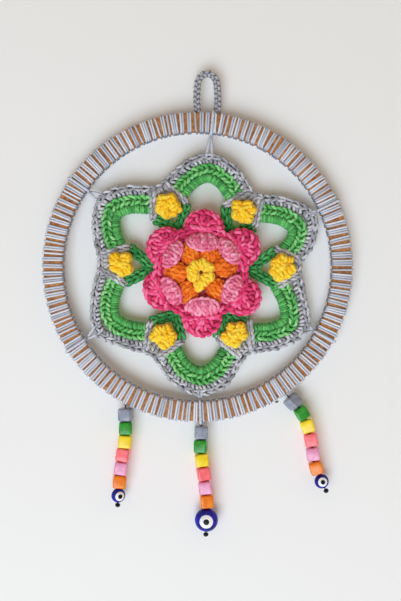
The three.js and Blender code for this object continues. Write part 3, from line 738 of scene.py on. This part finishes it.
def leaf_round():
    yarn = Yarn()
    for radius in (12.5, 16, 19.5):
        ring = circle(radius)
        yarn.band(ring, -2.0, 2.0, thick=1.4)
        for face in (1, -1):
            chain(yarn, ring, 0, face * 1.1, width=3.8, pitch=4.4, thick=1.7, face=face)
    for bobble in BOBBLES:
        root = polar(bobble.angle, sum(LEAF_RING) / 2, FLOWER)
        apex = polar(bobble.angle, LEAF_APEX, FLOWER)
        for side in (-1, 1):
            end = near(bobble, POST_INNER_DISTANCE, side * POST_INNER_ASIDE)
            end = end + LEAF_ARM_SHORT * unit(apex - end)
            arm = Line([root, apex, (apex + end) / 2, end])
            yarn.band(arm, -1.8, 1.8, thick=1.2)
            for face in (1, -1):
                chain(yarn, arm, -side * 0.7, face * 1.4, width=5.4, pitch=4.8, thick=2.3, face=face,
                      lead=0.8)
                leaves(yarn, arm, side * 2.6, face * 0.9, pitch=3.8, thick=1.9, length=4.8, rise=0.9,
                       face=face, lead=0.8)
    yarn.piece("leaf_crochet", "leaf_yarn", "leaf_round", slot="leaf_green_yarn")


grey_border()
green_arches()
leaf_round()

# Puffs and petals

INSIDE_RIM = 0.86  # rows of strands keep this share of a dome's half sizes
ON_RIM = 0.93


class Dome:
    """The cap of a puff or petal, with places across it and outwards. tilt lifts its inner side."""

    def __init__(self, yarn, middle, angle, half, level, tilt=0.0):
        self.yarn = yarn
        self.middle = middle
        self.out = polar(angle)
        self.across = polar(angle + 90)
        self.half = np.array(half, float)
        self.level = level
        self.tilt = tilt

    def back(self, pitch, length, thick):
        """Strands over the underside, which shows from behind."""
        self.half *= (1, 1, -1)
        self.yarn.front = -1
        self.cover(pitch, length, thick, lift=-0.2, slant=30)
        self.yarn.front = 1
        self.half *= (1, 1, -1)

    def at(self, across, out, lift):
        """Places by their way over the cap from its top, so that they curl in at its rim."""
        x, y = across / self.half[0], out / self.half[1]
        way = np.maximum(np.hypot(x, y), 1e-6)
        ball = np.stack([x * np.sin(way) / way, y * np.sin(way) / way, np.cos(way)], -1)
        place = ball * self.half + unit(ball / self.half) * np.reshape(lift, (-1, 1))
        flat = self.middle + place[:, :1] * self.across + place[:, 1:2] * self.out
        return np.column_stack([flat, self.level + place[:, 2] - self.tilt * place[:, 1]])

    def core(self, sink=0.0, shade=0.45):
        """A plain closed skin, sunk a little under the strands. Its shade sets how dark the gaps between them
        look: the low default is painted shade there.
        """
        rows, around = 12, 24
        turns = np.arange(around) * 2 * np.pi / around
        way, turn = np.meshgrid(np.linspace(0.1, 2.9, rows), turns, indexing="ij")
        across, out = self.half[0] * way * np.cos(turn), self.half[1] * way * np.sin(turn)
        points = self.at(across.ravel(), out.ravel(), -sink)
        self.yarn.add(points, shade, grid(rows, around)[:, ::-1], caps(rows, around)[:, ::-1])

    def leaf(self, across, out, turn, length, thick, lift=0.0, fade=0.1):
        """A leaf-shaped strand over a spot of the cap, turned that far from the outward way. Its default fade
        darkens its ends, as painted shade where they tuck in.
        """
        flat = np.hypot(across / self.half[0], out / self.half[1]) + 1e-6
        stretch = np.arcsin(min(flat, 0.98)) / flat
        a = np.radians(turn)
        t = length * np.array([-0.5, -0.28, 0, 0.28, 0.5])
        up = lift + thick * np.array([-0.6, 0.0, 0.2, 0.0, -0.6])
        path = self.at(across * stretch + t * np.sin(a), out * stretch + t * np.cos(a), up)
        self.yarn.tube(smooth(path, 0.34 * thick), thick * np.array([0.75, 1, 1.12, 1, 0.75]), fade=fade)

    def cover(self, pitch, length, thick, lift, slant):
        """Strands in staggered rows over the whole dome, slanting to one side and the other."""
        rows = max(3, round(2 * self.half[1] / (0.6 * length)))
        for k in range(rows):
            out = INSIDE_RIM * self.half[1] * ((2 * k + 1) / rows - 1)
            reach = INSIDE_RIM * self.half[0] * np.sqrt(max(0.02, 1 - (out / self.half[1]) ** 2))
            count = max(2, round(2 * reach / pitch))
            for j in range(count):
                across = reach * ((2 * j + 1 + 0.5 * (k % 2)) / (count + 0.25) - 1) + rng.uniform(-0.3, 0.3)
                turn = (slant if (j + k) % 2 else -slant) + rng.uniform(-14, 14)
                place = out + rng.uniform(-0.4, 0.4)
                self.leaf(across, place, turn, length * rng.uniform(0.85, 1.2), thick, lift, fade=0.8)

    def rim(self, start, end, count, length, thick, lift):
        """Strands along the rim, from one angle to another, counted from the outward way."""
        for a in np.radians(np.linspace(start, end, count)):
            x, y = self.half[0] * np.sin(a), self.half[1] * np.cos(a)
            turn = np.degrees(np.arctan2(self.half[0] * np.cos(a), -self.half[1] * np.sin(a)))
            turn += rng.uniform(-5, 5)
            self.leaf(ON_RIM * x, ON_RIM * y, turn, length, thick, lift, fade=0.8)


def hub(yarn, inner, outer, level):
    """The flat round that a ring of petals grows from, chained on its back."""
    half = (outer - inner) / 2
    yarn.band(circle((inner + outer) / 2), -half, half, thick=1.0, level=level, shade=0.6)
    for radius in np.arange(inner + 1.8, outer, 3.6):
        chain(yarn, circle(radius), 0, level - 0.4, width=3.8, pitch=4.2, thick=1.6, face=-1)


HOT_PINK_BASE = 27.0  # radius of the rope that the hot pink petals grow from
HOT_PINK_FAN = 11.6  # how far their stitches fan out to either side


def hot_pink_petals():
    yarn = Yarn((0.32, 1.25))
    hub(yarn, inner=18, outer=26, level=3.6)
    for angle, seat, lean in HOT_PINK:
        radius = seat - lean
        dome = Dome(yarn, polar(angle, radius, FLOWER), angle, (12.0, 9.2, 4.2), level=4.6)
        dome.core(sink=0.6)
        dome.back(pitch=2.8, length=6.4, thick=2.4)
        base = HOT_PINK_BASE - radius
        reach = dome.half[1] - base - 0.6

        def fan(beta, share):
            a = np.radians(beta)
            return HOT_PINK_FAN * share * np.sin(a), base + reach * share * np.cos(a)

        for share, count, length in ((0.3, 6, 5.6), (0.6, 9, 6.4)):
            for beta in np.linspace(-80, 80, count):
                spot = fan(beta + rng.uniform(-5, 5), share)
                dome.leaf(*spot, 0.9 * beta + rng.choice([-24, 12]), length, thick=2.3)
        for beta in np.linspace(-88, 88, 8):
            turn = beta + 64 + rng.uniform(-16, 16)
            dome.leaf(*fan(beta, 0.86), turn, length=6.8, thick=2.4, lift=0.4)
        for beta in np.linspace(-84, 84, 9):
            turn = beta + 78 + rng.uniform(-12, 12)
            dome.leaf(*fan(beta, 1.0), turn, length=6.4, thick=2.3)
        for across in np.linspace(-9.5, 9.5, 7):
            turn = 66 + rng.uniform(-8, 8)
            dome.leaf(across, base + 0.012 * across**2, turn, length=6.2, thick=2.5, lift=0.9)
    ring = circle(HOT_PINK_BASE, 15)
    yarn.tube(ring.at(np.linspace(0, ring.length, 90), 0, 5.8), 4.2, shade=0.6, fade=1)
    chain(yarn, ring, 0, 8.2, width=5.8, pitch=4.4, thick=2.4, loose=1.6)
    chain(yarn, ring, 0, 3.4, width=5.6, pitch=4.4, thick=2.3, face=-1)
    chain(yarn, circle(HOT_PINK_BASE - 3.8, 15), 0, 6.6, width=5.0, pitch=4.4, thick=2.3)
    yarn.piece("hot_pink_crochet", "hot_pink_yarn", "hot_pink_petals")


def light_pink_petals():
    yarn = Yarn((0.4, 1.15))
    hub(yarn, inner=9, outer=18, level=5.9)
    for angle, radius, half in LIGHT_PINK:
        dome = Dome(yarn, polar(angle, radius - 0.2, FLOWER), angle, (half, 0.56 * half, 3.6), level=9.2,
                    tilt=0.38)
        dome.core(shade=0.8)
        dome.cover(pitch=2.6, length=6.4, thick=2.3, lift=-0.2, slant=26)
        dome.rim(95, 265, count=9, length=6.2, thick=2.2, lift=0.3)
    yarn.piece("light_pink_crochet", "light_pink_yarn", "light_pink_petals")


def orange_puffs():
    yarn = Yarn((0.4, 1.15))
    hub(yarn, inner=2.6, outer=11, level=7.9)
    for angle, radius in ORANGE:
        dome = Dome(yarn, polar(angle, radius, FLOWER), angle, (6.3, 6.8, 5.0), level=7.8, tilt=0.2)
        dome.core(shade=0.75)
        dome.cover(pitch=2.4, length=5.6, thick=2.2, lift=-0.2, slant=28)
        dome.rim(0, 340, count=14, length=4.8, thick=1.9, lift=0.0)
    yarn.piece("orange_crochet", "orange_yarn", "orange_puffs")


CENTRE_BUMPS = [130, 78, 28, 332, 290, 205, 165]  # degrees, round the hole
CENTRE_TAIL = 260
CENTRE_LEVEL = 11.2


def yellow_centre():
    """A ring of soft bumps round a small hole, with a longer one below."""
    yarn = Yarn((0.75, 1.05))
    bumps = [(angle, 5.2, (3.9, 4.1, 2.7)) for angle in CENTRE_BUMPS]
    bumps.append((CENTRE_TAIL, 7.2, (3.8, 5.2, 2.6)))
    for angle, radius, half in bumps:
        dome = Dome(yarn, polar(angle, radius, FLOWER), angle, half, CENTRE_LEVEL + rng.uniform(-0.3, 0.5))
        dome.core(shade=0.95)
        for across, out in ((-2.0, 0.6), (0.2, -1.4), (1.9, 0.4), (-0.2, 2.0)):
            turn = rng.uniform(-50, 50)
            dome.leaf(across, out, turn, 1.5 * half[1], thick=2.6, lift=-0.25, fade=0.8)
    yarn.piece("yellow_crochet", "yellow_yarn", "yellow_centre")


BALL_RADIUS = 6.4
LUMP_SPARE = 0.35  # the strands lie sunk into a lump


def bobbles():
    """A ball of yarn with soft lumps round it, as the bobble's stitches bulge."""
    for bobble in BOBBLES:
        yarn = Yarn((0.55, 1.1))
        middle = near(bobble, *bobble.lean)
        half = (BALL_RADIUS, BALL_RADIUS, BOBBLE_HALF_HEIGHT - 1.1)
        ball = Dome(yarn, middle, bobble.angle, half, BOBBLE_LEVEL)
        ball.core(shade=0.8)
        ball.back(pitch=3.0, length=6.0, thick=2.8)
        for k in range(7):
            across, out = polar(rng.uniform(0, 360), 0.6 * k)
            turn, length = rng.uniform(0, 180), rng.uniform(5.0, 7.0)
            ball.leaf(across, out, turn, length, thick=2.7, lift=-0.3, fade=0.8)
        for angle, distance, size in bobble.lumps:
            size += LUMP_SPARE
            place = polar(angle, distance + LUMP_SPARE, middle)
            lump = Dome(yarn, place, angle, (size, size, size), BOBBLE_LEVEL + 0.4)
            lump.core(sink=0.1, shade=0.9)
            thick = min(2.5, 0.9 * size)
            for across, out in ((-0.45, 0.15), (0.05, -0.35), (0.45, 0.1), (-0.05, 0.5)):
                turn = rng.uniform(-55, 55)
                lump.leaf(across * size, out * size, turn, 1.6 * size, thick, lift=-0.3, fade=0.8)
        yarn.piece(f"bobble_crochet_{bobble.name}", "yellow_yarn", f"bobble_{bobble.name}")


hot_pink_petals()
light_pink_petals()
orange_puffs()
yellow_centre()
bobbles()

# Ties: each goes once round the hoop and down to two places on the border

TIE_YARN = 1.9


def ties():
    way = round_hoop(WRAP_THICKNESS + 0.1)
    way = np.vstack([way, way[:1]])
    for lobe in LOBES:
        yarn = Yarn()
        out = polar(lobe.tip[0])
        aside = polar(lobe.tip[0] + 90)
        tip = polar(lobe.tip[0], HOOP_INNER - lobe.tip[1] - 1.2, FLOWER)
        flat = polar(lobe.tie + np.linspace(-0.35, 0.35, len(way)), WRAP_MIDDLE + way[:, 0], HOOP)
        yarn.tube(smooth(np.column_stack([flat, way[:, 1]]), 0.6), TIE_YARN, shade=0.8, fade=1)
        knot = polar(lobe.tie, HOOP_INNER - WRAP_THICKNESS - 0.6, HOOP)
        for side in (-1, 1):
            foot = tip + aside * side * lobe.spread / 2
            halfway = knot + 0.45 * (foot - knot) + aside * side * 0.3
            path = [[*knot, 0.4 * side], [*halfway, 0.9], [*foot, 1.5], [*(foot - out * 1.6), 0.2]]
            yarn.tube(smooth(path, 0.5), TIE_YARN, shade=0.8, fade=0.5)
        yarn.piece(f"tie_yarn_{lobe.name}", "grey_wrap", f"tie_{lobe.name}", slot="grey_yarn")


ties()

# Bead strands

CUBE_EDGE = 1.0
CUBE_SQUARENESS = 9.0
SEED_BORE = 1.1
DOT_RINGS = 7
DOT_PROUD = dict(white=0.14, pupil=0.26)
THREAD_TAIL = (299.7, 301.2)  # degrees round the hoop: the end of a thread beside the right strand


def lathe(upper, sides, shape=np.ones_like):
    """A ring solid turned round y, from the upper half of its profile: radius, height and how far it takes
    on the shape, which bends it out of round."""
    profile = np.array(upper + [(r, -y, p) for r, y, p in reversed(upper) if y > 1e-6], float)
    angles = np.arange(sides)[:, None] * 360 / sides
    r, y, power = profile.T
    points = rings(angles, r * shape(np.radians(angles)) ** power, y)[:, [0, 2, 1]]
    return points, grid(sides, len(profile), True)


def cube_points():
    """A cube bead with pillowed faces and soft edges, bored along y."""
    half, bore, flat = CUBE / 2, BEAD_BORE / 2, CUBE / 2 - CUBE_EDGE
    upper = [(bore, half - 0.5, 0), (bore + 0.25, half - 0.1, 0), (bore + 0.7, half, 0),
             (half * 0.6, half, 0.6), (flat, half - 0.06, 1)]
    for a in np.radians([25, 50, 75, 90]):
        upper.append((flat + CUBE_EDGE * np.sin(a), flat + CUBE_EDGE * np.cos(a) - 0.03, 1))
    upper.append((half + 0.08, half * 0.4, 1))

    def square(a):
        far = np.abs(np.cos(a)) ** CUBE_SQUARENESS + np.abs(np.sin(a)) ** CUBE_SQUARENESS
        return far ** (-1 / CUBE_SQUARENESS)

    return lathe(upper, 64, square)


def seed_points():
    half, bore = SEED_HEIGHT / 2, SEED_BORE / 2
    upper = [(bore, 0.6 * half, 0), (bore + 0.25, 0.92 * half, 0)]
    for a in np.radians([20, 50, 75, 90]):
        upper.append((bore + 0.3 + (SEED_RADIUS - bore - 0.3) * np.sin(a), half * np.cos(a), 0))
    return lathe(upper, 24)


def eye_points(radius, half_depth):
    """Pressed glass: round from the front, flat in depth, bored along y."""
    bore = EYE_BORE / 2
    lip = np.sqrt(radius**2 - (bore + 0.4) ** 2)
    upper = [(bore, lip - 0.8, 0), (bore + 0.1, lip - 0.15, 0)]
    for a in np.linspace(np.arcsin((bore + 0.4) / radius), np.pi / 2, 14):
        upper.append((radius * np.sin(a), radius * np.cos(a), 0))
    points, faces = lathe(upper, 48)
    points[:, 2] *= half_depth / radius
    return points, faces


def dot_points(size, radius, half_depth, proud):
    """A drop of glass melted on to the front of an eye bead."""
    angles = np.arange(0, 360, 10)
    share = np.append(np.sin(np.linspace(0.12, np.pi / 2, DOT_RINGS)), [1.0])
    r = size * share
    level = half_depth * np.sqrt(np.maximum(1 - (r / radius) ** 2, 0)) + proud * np.sqrt(1 - 0.98 * share**8)
    level[-1] -= 0.5
    shape = len(r), len(angles)
    return rings(angles, r[:, None], level[:, None]), grid(*shape).tolist() + caps(*shape).tolist()


def turned(points, about_y, lean, at):
    """Turned round the thread, leant with it, and set in place."""
    b, a = np.radians((about_y, -lean))
    x, y, z = points.T
    x, z = x * np.cos(b) + z * np.sin(b), z * np.cos(b) - x * np.sin(b)
    return np.stack([at[0] + x * np.cos(a) - y * np.sin(a), at[1] + x * np.sin(a) + y * np.cos(a), z], -1)


def bead(owner, part, shape, place, material, body, node):
    points, faces = shape
    mesh = bpy.data.meshes.new(f"{owner}_{part}")
    mesh.from_pydata(row(turned(points, *place)).tolist(), [], list(faces))
    mesh.update()
    settle(mesh, material, f"{owner}_{body}", [f"{owner}_{node}"])


def thread_stub(owner, part, start, end, body, *nodes):
    yarn = Yarn()
    yarn.tube(smooth([[*start, 0], [*((start + end) / 2), 0], [*end, 0]], 0.4), THREAD)
    yarn.piece(f"{owner}_thread_{part}", "thread", *nodes, slot="dark_thread", body=f"{owner}_{body}")


def strand(name, hoop, gap, leans, spins, eye_lean, seed_lean, eye, turn):
    """Hangs at an angle round the hoop. Leans are from plumb, and spins and turn are round the thread."""

    def down(lean):
        return polar(270 - lean)

    at = polar(hoop, HOOP_OUTER + WRAP_THICKNESS, HOOP)
    reach = BEAD_BORE / 2 + 1.2
    first = down(leans[0])
    root = polar(hoop, HOOP_OUTER - 0.6, HOOP)
    thread_stub(name, "top", root, at + first * 0.4, "thread", f"{name}_thread")
    thread_stub(name, "first", at, at + first * (STRAND_DROP + reach), "grey")
    cube = cube_points()
    room = STRAND_DROP
    for color, lean, spin in zip(GLAZES, leans, spins):
        middle = at + down(lean) * (room + CUBE / 2)
        place = (spin, lean, middle)
        bead(name, f"bead_{color}", cube, place, f"{color}_glaze", color, f"cube_{color}")
        at = middle + down(lean) * (CUBE + gap) / 2
        stub = down(lean) * (gap / 2 + reach)
        thread_stub(name, color, at - stub, at + stub, color)
        room = gap / 2
    radius, depth = eye["radius"], eye["half_depth"]
    middle = at + down(eye_lean) * (room + radius)
    place = (turn, eye_lean, middle)
    bead(name, "eye_blue", eye_points(radius, depth), place, "blue_glass", "eye", "eye_glass")
    for part, material in (("white", "white_glass"), ("pupil", "black_glass")):
        dot = dot_points(eye[part], radius, depth, DOT_PROUD[part])
        bead(name, f"eye_{part}_drop", dot, place, material, "eye", f"eye_{part}")
    at = middle + down(eye_lean) * (radius + gap / 2)
    end = at + down(seed_lean) * (gap / 2 + SEED_HEIGHT + 0.6)
    thread_stub(name, "eye", at - down(eye_lean) * 1.6, end, "seed")
    middle = at + down(seed_lean) * (gap / 2 + SEED_HEIGHT / 2)
    bead(name, "seed_bead", seed_points(), (0, seed_lean, middle), "black_glass", "seed", "seed")


def thread_tail():
    """The knotted end of a thread, which comes out of the winding beside the right strand."""
    yarn = Yarn()
    angles = np.linspace(*THREAD_TAIL, 5)
    flat = polar(angles, HOOP_OUTER + WRAP_THICKNESS + np.array([-0.8, 0.3, 0.6, 0.6, 0.4]), HOOP)
    path = np.column_stack([flat, [0.4, 0.6, 0.8, 0.6, 0.4]])
    yarn.tube(smooth(path, 0.3), THREAD, fade=1)
    yarn.tube(smooth(path[1:4], 0.3), 1.4, fade=1)
    yarn.piece("right_thread_tail", "thread", slot="dark_thread")


strand("left", hoop=242.4, gap=0.4, leans=[-1, 1, 6, 9, 9, 5], spins=[-13, 4, 6, -5, 3, 8],
       eye_lean=3, seed_lean=7, eye=SMALL_EYE, turn=27)
strand("middle", hoop=271.5, gap=0.65, leans=[3, 0, -7, -9, -7, -3], spins=[4, -7, 5, 8, -4, 6],
       eye_lean=3, seed_lean=-4, eye=LARGE_EYE, turn=-1)
strand("right", hoop=304.8, gap=0.9, leans=[-44, -31, -18, -10, -7, -18], spins=[34, 0, -6, -4, -8, -6],
       eye_lean=-25, seed_lean=-27, eye=SMALL_EYE, turn=6)
thread_tail()

# Stage and light, in metres

WALL_BEHIND = 0.0074  # clear of the large eye when it turns
FLOOR_BELOW = -2.0
STAGE_HALF_WIDTH = 1.6
WALL_TOP = 1.2
PAINT = srgb(239, 237, 234)
BACKDROP = srgb(224, 222, 218)
PART_MIDDLE = Vector((0, 0, -0.14))
LIGHT_FROM = 250  # degrees: below, a little to the left
LIGHT_SLANT = 37  # degrees from straight in front
LIGHT_DISTANCE = 2.2


def stage_material(name, one_sided):
    """Matt paint. A one-sided plane is clear from behind, and lets the lamps behind it through. The other
    kind looks as pale as the backdrop."""
    paint = Paint(name)
    shader = paint.nodes["Principled BSDF"]
    paint.fill(shader, {"Base Color": PAINT, "Roughness": 0.9, "Specular IOR Level": 0.1})
    if one_sided:
        other = paint.new("BsdfTransparent").outputs["BSDF"]
        behind = paint.new("NewGeometry").outputs["Backfacing"]
        share = paint.combine("MAXIMUM", behind, paint.ray("Shadow"))
    else:
        other = paint.new("Emission", Color=BACKDROP).outputs["Emission"]
        share = paint.ray("Camera")
    paint.mix(share, shader.outputs["BSDF"], other, "Material Output")
    return paint.owner


def stage_plane(name, corners, one_sided):
    mesh = bpy.data.meshes.new(name)
    mesh.from_pydata(corners, [], [list(range(4))])
    mesh.materials.append(stage_material(f"{name}_paint", one_sided))
    plane = new_object(name, mesh)


def area_light(name, place, size, power, color):
    data = bpy.data.lights.new(name, "AREA")
    data.size = size
    data.energy = power
    data.color = color
    lamp = new_object(name, data)
    lamp.location = place
    lamp.rotation_euler = (PART_MIDDLE - place).to_track_quat("-Z", "Y").to_euler()


def room():
    """A warm dim room that lights the part, with a pale backdrop for what is seen past the wall."""
    paint = Paint("world", world=True)
    glow = paint.fill(paint.nodes["Background"], {"Color": (1.25, 1.0, 0.72, 1), "Strength": 0.34})
    backdrop = paint.new("Background", Color=BACKDROP)
    seen = paint.combine("MAXIMUM", paint.ray("Camera"), paint.ray("Glossy"))
    seen = paint.combine("MAXIMUM", seen, paint.ray("Transmission"))
    paint.mix(seen, glow.outputs["Background"], backdrop.outputs["Background"], "World Output")
    return paint.owner


def stage():
    left, right = -STAGE_HALF_WIDTH, STAGE_HALF_WIDTH
    wall = ((left, FLOOR_BELOW), (right, FLOOR_BELOW), (right, WALL_TOP), (left, WALL_TOP))
    stage_plane("wall", [(x, WALL_BEHIND, z) for x, z in wall], one_sided=True)
    floor = ((left, left), (right, left), (right, right), (left, right))
    stage_plane("floor", [(x, y, FLOOR_BELOW) for x, y in floor], one_sided=False)
    slant, way = np.radians(LIGHT_SLANT), np.radians(LIGHT_FROM)
    toward = Vector((np.sin(slant) * np.cos(way), -np.cos(slant), np.sin(slant) * np.sin(way)))
    place = PART_MIDDLE + LIGHT_DISTANCE * toward
    area_light("window", place, size=1.6, power=42, color=(0.84, 1.0, 1.18))
    area_light("back", Vector((0.3, 1.2, 0.4)), size=0.8, power=9, color=(1, 1, 1))
    bpy.context.scene.world = room()
    bpy.context.scene.view_settings.view_transform = "Standard"


stage()
